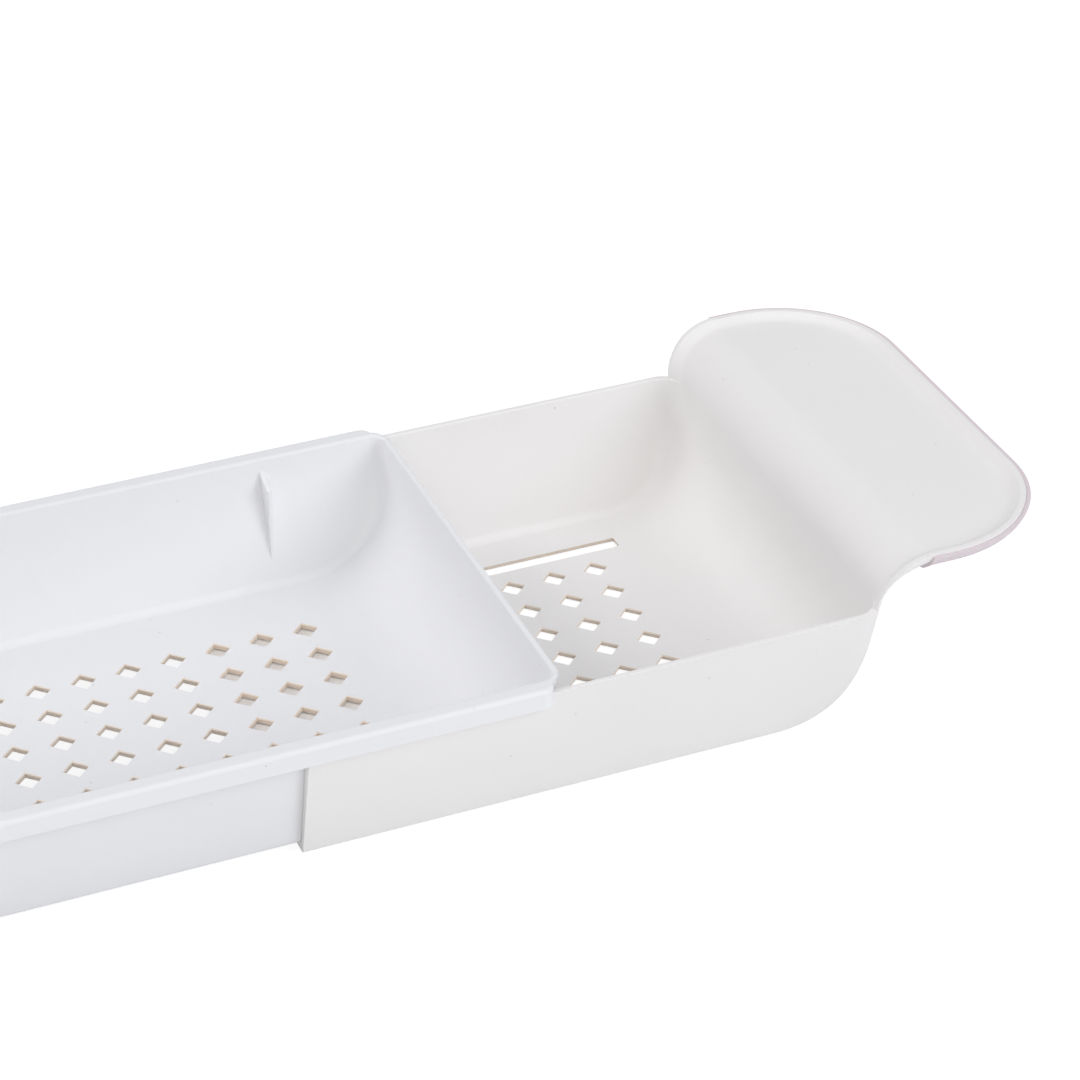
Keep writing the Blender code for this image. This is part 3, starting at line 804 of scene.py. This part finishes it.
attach(tub, "centre")
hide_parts("centre_tray")
for side, moulding, band in (("right", rightTray, rightGrip), ("left", leftTray, leftGrip)):
    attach(moulding, side + "_extension")
    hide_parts(side + "_extension_tray")
    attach(band, side + "_extension")
    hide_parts(side + "_grip")
print("pieces placed")


# Studio: white ground and backdrop, soft light, the photo's viewpoint
studio = {
    "groundSize": 8.0, "groundAt": -0.0004, "backdropHeight": 4.0,
    "seenWhite": 0.86, "seenShade": 0.30, "bounceWhite": 0.85,
    "ambient": 0.283, "ambientTint": (0.882, 0.903, 1.0), "seenAir": 1.0,
    "eye": (-0.0661, -0.7995, 0.5868), "eyeTurn": (57.627, 0.694, -22.165), "lens": 114.4,
}
lamps = {
    "front": {
        "place": (-0.4, -2.6, 1.5), "turn": (62.0, 0.0, -8.0), "size": 2.0,
        "power": 19.8, "tint": (1.0, 0.985, 0.94),
    },
    "right": {
        "place": (1.3, -1.5, 1.1), "turn": (61.0, 0.0, 39.0), "size": 1.2,
        "power": 17.3, "tint": (0.95, 0.968, 1.0),
    },
    "top": {
        "place": (0.3, 0.0, 2.6), "turn": (0.0, 0.0, 0.0), "size": 1.6,
        "power": 11.6, "tint": (1.0, 0.99, 0.965),
    },
    "left": {
        "place": (-1.9, 0.9, 1.7), "turn": (53.0, 0.0, -114.0), "size": 1.6,
        "power": 29.8, "tint": (1.0, 0.99, 0.989),
    },
}


def grey(level):
    return (level, level, level, 1.0)


def seenRay(tree):
    # 1 for rays that show the backdrop, straight, mirrored or through, and 0 for its bounced light
    path = node(tree, "ShaderNodeLightPath")
    seen = node(tree, "ShaderNodeMath", operation="ADD")
    seenToo = node(tree, "ShaderNodeMath", operation="ADD", use_clamp=True)
    tree.links.new(path.outputs["Is Camera Ray"], seen.inputs[0])
    tree.links.new(path.outputs["Is Glossy Ray"], seen.inputs[1])
    tree.links.new(seen.outputs["Value"], seenToo.inputs[0])
    tree.links.new(path.outputs["Is Transmission Ray"], seenToo.inputs[1])
    return seenToo.outputs["Value"]


def groundMaterial():
    # seen as white with a faint shadow, and plain matt white for the light that bounces off it
    material = bpy.data.materials.new("white_ground")
    material.use_nodes = True
    tree = material.node_tree
    link = tree.links.new
    tree.nodes.remove(tree.nodes["Principled BSDF"])
    seen = seenRay(tree)
    glow = node(tree, "ShaderNodeEmission")
    glow.inputs["Strength"].default_value = studio["seenWhite"]
    shade = node(tree, "ShaderNodeBsdfDiffuse")
    shade.inputs["Color"].default_value = grey(studio["seenShade"])
    white = node(tree, "ShaderNodeAddShader")
    link(glow.outputs["Emission"], white.inputs[0])
    link(shade.outputs["BSDF"], white.inputs[1])
    bounce = node(tree, "ShaderNodeBsdfDiffuse")
    bounce.inputs["Color"].default_value = grey(studio["bounceWhite"])
    mixed = node(tree, "ShaderNodeMixShader")
    link(seen, mixed.inputs["Fac"])
    link(bounce.outputs["BSDF"], mixed.inputs[1])
    link(white.outputs["Shader"], mixed.inputs[2])
    link(mixed.outputs["Shader"], tree.nodes["Material Output"].inputs["Surface"])
    return material


def studioAir():
    # a soft even light from all round, seen as plain white
    world = bpy.data.worlds.new("studio_air")
    world.use_nodes = True
    tree = world.node_tree
    link = tree.links.new
    air = tree.nodes["Background"]
    air.inputs["Color"].default_value = (*studio["ambientTint"], 1.0)
    air.inputs["Strength"].default_value = studio["ambient"]
    seenAir = node(tree, "ShaderNodeBackground")
    seenAir.inputs["Color"].default_value = grey(1.0)
    seenAir.inputs["Strength"].default_value = studio["seenAir"]
    mixed = node(tree, "ShaderNodeMixShader")
    link(seenRay(tree), mixed.inputs["Fac"])
    link(air.outputs["Background"], mixed.inputs[1])
    link(seenAir.outputs["Background"], mixed.inputs[2])
    link(mixed.outputs["Shader"], tree.nodes["World Output"].inputs["Surface"])
    return world


def softLamp(name, look):
    clearSelection()
    turn = [math.radians(a) for a in look["turn"]]
    bpy.ops.object.light_add(type="AREA", location=look["place"], rotation=turn)
    lamp = bpy.context.object
    lamp.name = name
    lamp.data.shape = "SQUARE"
    lamp.data.size = look["size"]
    lamp.data.energy = look["power"]
    lamp.data.color = look["tint"]


clearSelection()
bpy.ops.mesh.primitive_plane_add(size=studio["groundSize"], location=(0.0, 0.0, studio["groundAt"]))
ground = bpy.context.object
ground.name = "ground"
bpy.ops.object.transform_apply(location=True, rotation=True, scale=True)
farSide = studio["groundSize"] / 2 / mm - 100
pick(ground, "EDGE", lambda e: spanOf(e)[0].y > farSide)
backdrop = (0.0, 0.0, studio["backdropHeight"])
bpy.ops.mesh.extrude_region_move(TRANSFORM_OT_translate={"value": backdrop})
done()
ground.data.materials.append(groundMaterial())
for lampName, lampLook in lamps.items():
    softLamp(lampName + "_light", lampLook)
bpy.context.scene.world = studioAir()

clearSelection()
eyeTurn = [math.radians(a) for a in studio["eyeTurn"]]
bpy.ops.object.camera_add(location=studio["eye"], rotation=eyeTurn)
eye = bpy.context.object
eye.name = "photo_view"
eye.data.sensor_width = 36.0
eye.data.lens = studio["lens"]
eye.data.clip_start = 0.01
eye.data.clip_end = 20.0
bpy.context.scene.camera = eye
bpy.context.scene.view_settings.view_transform = "Standard"
print("studio set")
